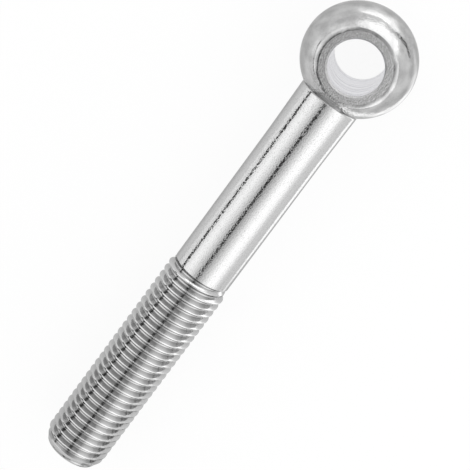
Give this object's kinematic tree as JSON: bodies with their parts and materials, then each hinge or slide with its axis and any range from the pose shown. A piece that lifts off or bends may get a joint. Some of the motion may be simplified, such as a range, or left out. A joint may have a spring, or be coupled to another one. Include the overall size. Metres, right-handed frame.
{
  "type": "swing eye bolt",
  "caption": "One-piece swing eye bolt: a ball eye with flat sides and a cross bore on a plain shank with a coarse right-hand metric thread.",
  "frame": {"origin": "centre of the eye, on the axis of its bore, midway between the flat sides", "axes": "+X along the bolt from the eye to the end of the thread, +Z along the eye's bore; the bolt lies with a flat side of the eye down"},
  "size_m": [0.167, 0.034, 0.025],
  "materials": {
    "bright_steel": "bright, finely grained on the shank, turned on the flat sides and in the bore"
  },
  "bodies": {
    "root": {"eye_bolt": "bright_steel"}
  },
  "joints": []
}
